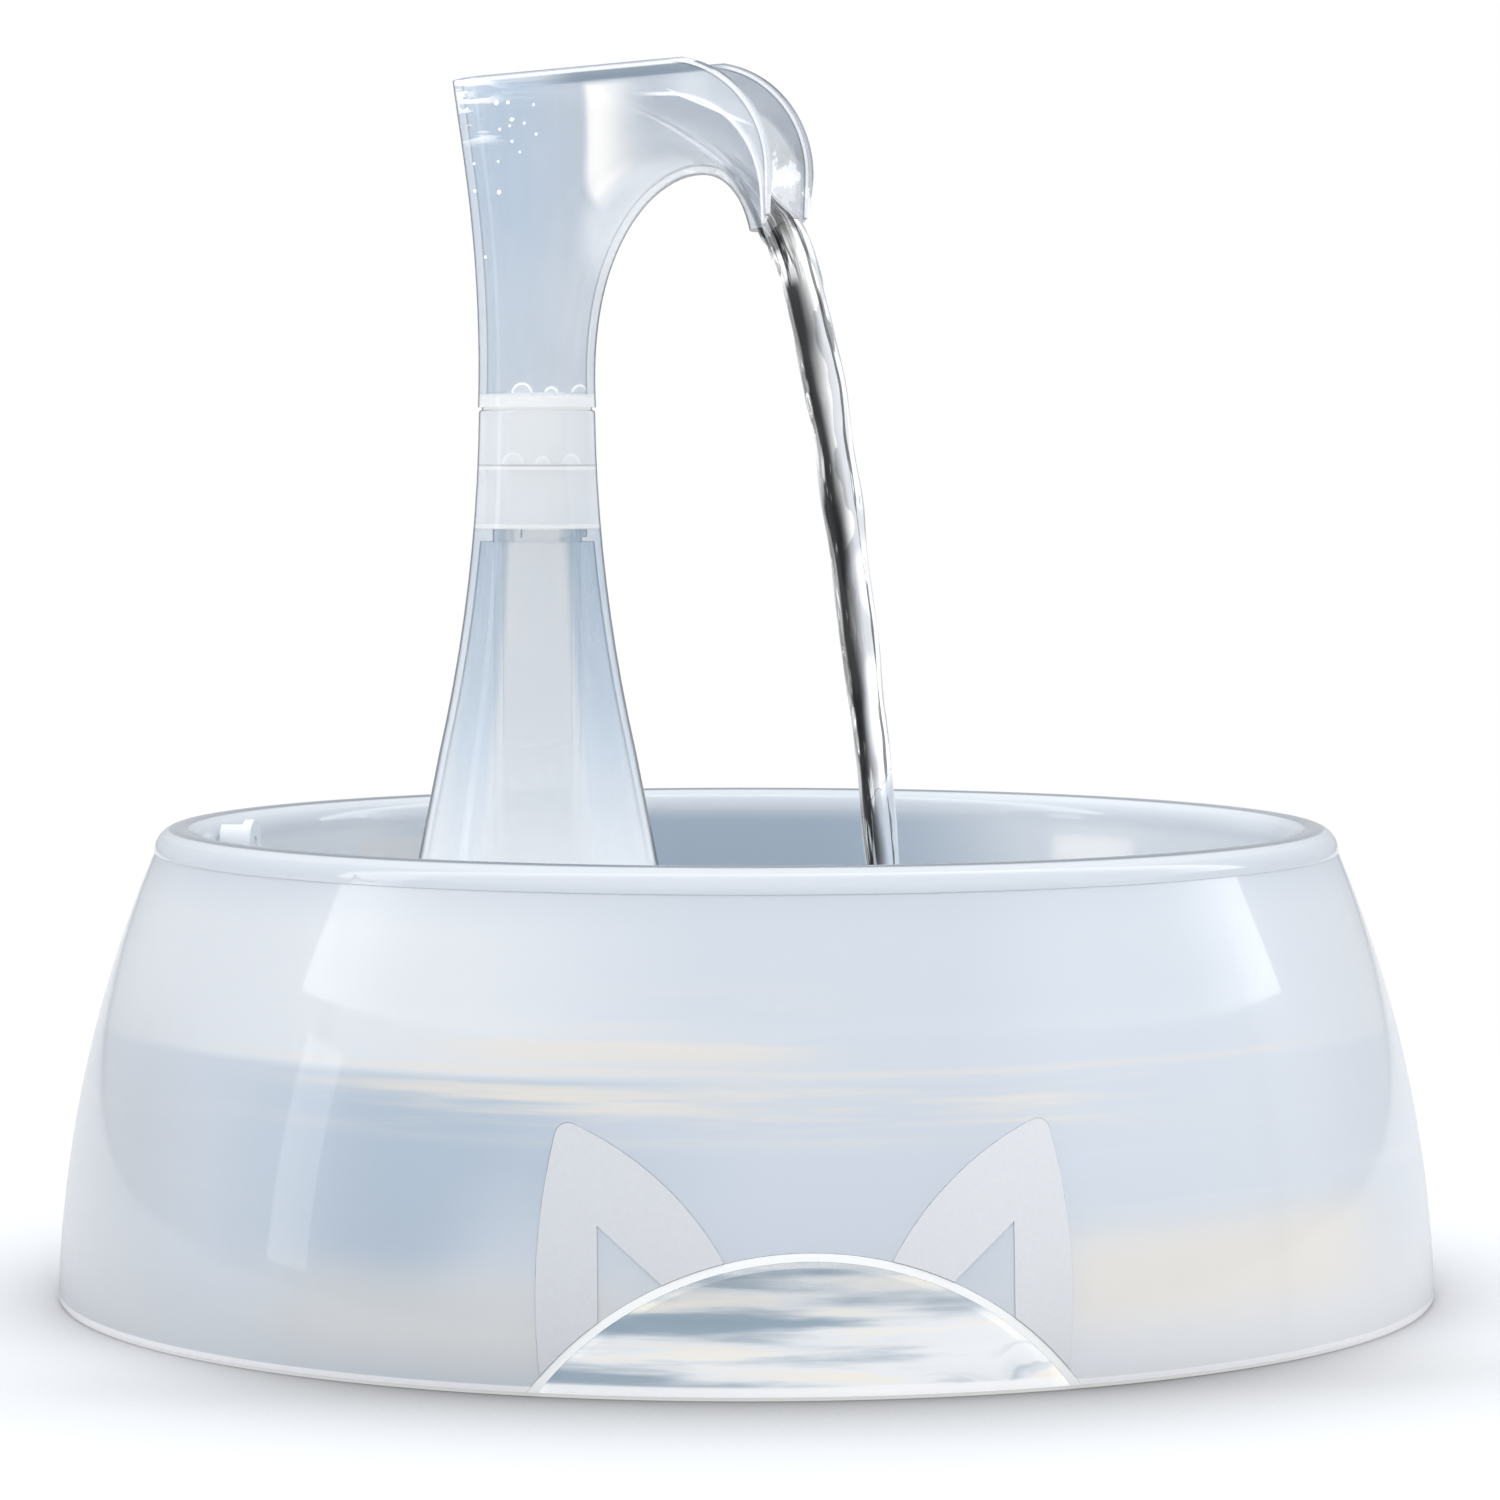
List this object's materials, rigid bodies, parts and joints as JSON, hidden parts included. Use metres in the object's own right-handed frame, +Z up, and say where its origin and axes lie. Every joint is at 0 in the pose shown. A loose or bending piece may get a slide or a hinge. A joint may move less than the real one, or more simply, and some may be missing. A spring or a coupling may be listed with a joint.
{
  "type": "pet water fountain",
  "caption": "Round drinking fountain for pets: a clear rolled-rim bowl in a flared frosted shell, with a pump tower and an open swivel spout.",
  "frame": {"origin": "on the bowl's axis at the surface the rubber feet stand on", "axes": "+Z up, the shell's arched window faces -Y, +X to the right of the window as it is looked at"},
  "size_m": [0.2836, 0.2836, 0.2532],
  "materials": {
    "shell_frosted": "frosted translucent, glossy skin",
    "window_clear": "clear, polished",
    "trim_white": "milky white, glossy",
    "ear_matte": "fine matte",
    "foot_rubber": "soft matte",
    "bowl_clear": "clear, polished",
    "clip_white": "milky white, glossy",
    "pump_case": "fine texture",
    "stator_steel": "laminated",
    "coil_copper": "enamelled wire",
    "potting_resin": "cast resin",
    "seal_silicone": "silicone",
    "shaft_ceramic": "ground",
    "bush_rubber": "matte",
    "cage_white": "fine texture",
    "filter_foam": "open-cell foam",
    "filter_fleece": "fleece over carbon grains",
    "tube_clear": "clear, polished",
    "rotor_ferrite": "sintered",
    "rotor_plastic": "moulded",
    "dial_blue": "moulded",
    "tower_clear": "clear, polished"
  },
  "bodies": {
    "shell": {"outer_shell": "shell_frosted", "sight_window": "window_clear", "window_trim": "trim_white", "ear_motif": "ear_matte", "rubber_feet": "foot_rubber"},
    "bowl": {"inner_bowl": "bowl_clear", "cord_clip": "clip_white"},
    "pump": {"pump_housing": "pump_case", "stator_core": "stator_steel", "coil": "coil_copper", "epoxy_fill": "potting_resin", "impeller_chamber": "pump_case", "chamber_seal": "seal_silicone", "impeller_cover": "pump_case", "impeller_shaft": "shaft_ceramic", "rear_bush": "bush_rubber", "front_bush": "bush_rubber", "filter_cage": "cage_white", "foam_pad": "filter_foam", "carbon_pad": "filter_fleece", "suction_cups": "seal_silicone", "cable_gland": "seal_silicone", "riser_tube": "tube_clear"},
    "impeller": {"magnet_rotor": "rotor_ferrite", "impeller_blades": "rotor_plastic"},
    "dial": {"flow_dial": "dial_blue"},
    "tower": {"tower_bell": "tower_clear"},
    "seal": {"spout_seal": "seal_silicone"},
    "spout_head": {"spout": "tower_clear"}
  },
  "joints": [
    {"name": "bowl_lift", "type": "slide", "parent": "shell", "child": "bowl", "axis": [0, 0, 1], "range_m": [0, 0.1]},
    {"name": "pump_lift", "type": "slide", "parent": "bowl", "child": "pump", "axis": [0, 0, 1], "range_m": [0, 0.11]},
    {"name": "impeller_spin", "type": "hinge", "parent": "pump", "child": "impeller", "pos_m": [-0.04215, 0.02147, 0.024], "axis": [0.891, -0.454, 0], "continuous": true},
    {"name": "dial_turn", "type": "hinge", "parent": "pump", "child": "dial", "pos_m": [-0.04215, 0.02147, 0.024], "axis": [0.891, -0.454, 0], "range_deg": [0, 45]},
    {"name": "tower_lift", "type": "slide", "parent": "pump", "child": "tower", "axis": [0, 0, 1], "range_m": [0, 0.16]},
    {"name": "spout_lift", "type": "slide", "parent": "tower", "child": "seal", "axis": [0, 0, 1], "range_m": [0, 0.03]},
    {"name": "spout_swivel", "type": "hinge", "parent": "seal", "child": "spout_head", "pos_m": [-0.04215, 0.02147, 0.1814], "axis": [0, 0, 1], "range_deg": [-75, 75]}
  ]
}
